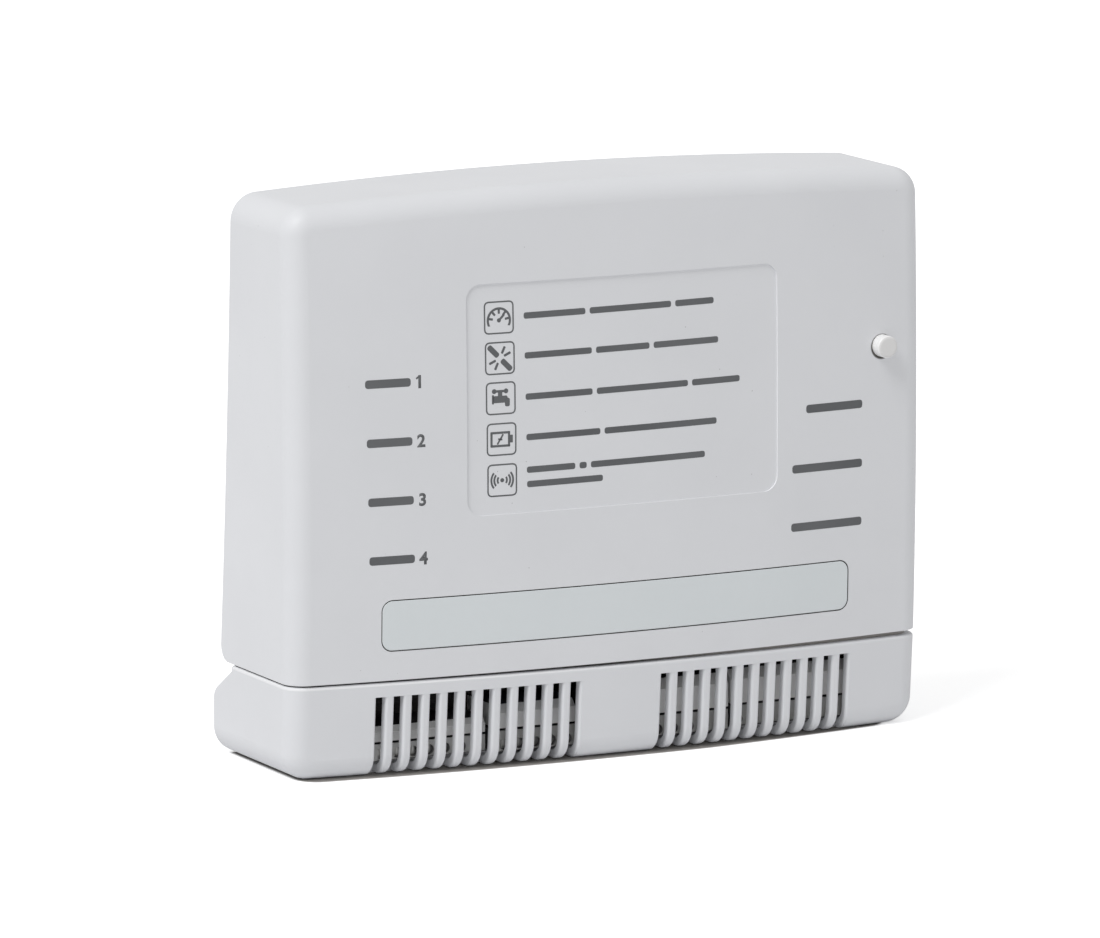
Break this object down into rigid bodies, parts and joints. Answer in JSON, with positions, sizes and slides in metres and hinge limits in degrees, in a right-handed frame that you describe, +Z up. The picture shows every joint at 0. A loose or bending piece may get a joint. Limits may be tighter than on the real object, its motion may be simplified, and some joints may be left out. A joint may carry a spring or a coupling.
{
  "type": "leak detection controller",
  "caption": "Wall-mounted control box for water leak sensors and shut-off valves: bowed front cover, vented base, push button and terminal blocks on a board inside.",
  "frame": {"origin": "centre of the case's outline at the height of its flat underside", "axes": "+X along the width towards the button side, +Y towards the wall, +Z up; the front looks towards -Y"},
  "size_m": [0.2006, 0.0595, 0.1654],
  "materials": {
    "case_white": "fine matt moulded plastic",
    "plate_gloss": "smooth satin gloss",
    "button_white": "smooth moulded plastic",
    "spacer_white": "plain nylon",
    "lamp_clear": "clear epoxy",
    "board_dark": "dark solder mask",
    "screw_steel": "zinc plated",
    "terminal_grey": "moulded polyamide",
    "relay_blue": "moulded case",
    "part_black": "moulded plastic",
    "fuse_glass": "glass tube with metal caps",
    "disc_blue": "dipped epoxy",
    "can_metal": "drawn metal can",
    "aerial_wire": "insulated wire",
    "cell_wrap": "plain shrink wrap"
  },
  "bodies": {
    "case": {"front_cover": "case_white", "rear_housing": "case_white", "name_plate": "plate_gloss", "switch_body": "part_black", "zone_leds": "lamp_clear", "status_leds": "lamp_clear", "led_spacers": "spacer_white", "main_board": "board_dark", "board_screws": "screw_steel", "zone_terminals": "terminal_grey", "valve_terminals": "terminal_grey", "alarm_terminals": "terminal_grey", "mains_terminals": "terminal_grey", "terminal_screws": "screw_steel", "valve_relays": "relay_blue", "power_module": "part_black", "fuse_holder": "part_black", "mains_fuse": "fuse_glass", "surge_absorber": "disc_blue", "filter_capacitors": "can_metal", "alarm_buzzer": "part_black", "controller_chip": "part_black", "radio_module": "can_metal", "radio_aerial": "aerial_wire", "battery_holder": "part_black", "backup_cells": "cell_wrap", "cell_contacts": "screw_steel"},
    "button": {"push_button": "button_white", "switch_plunger": "part_black"}
  },
  "joints": [
    {"name": "button_press", "type": "slide", "parent": "case", "child": "button", "axis": [0, 1, 0], "range_m": [0, 0.0005], "stiffness_N_per_m": 1500, "springref_m": -0.0005}
  ]
}
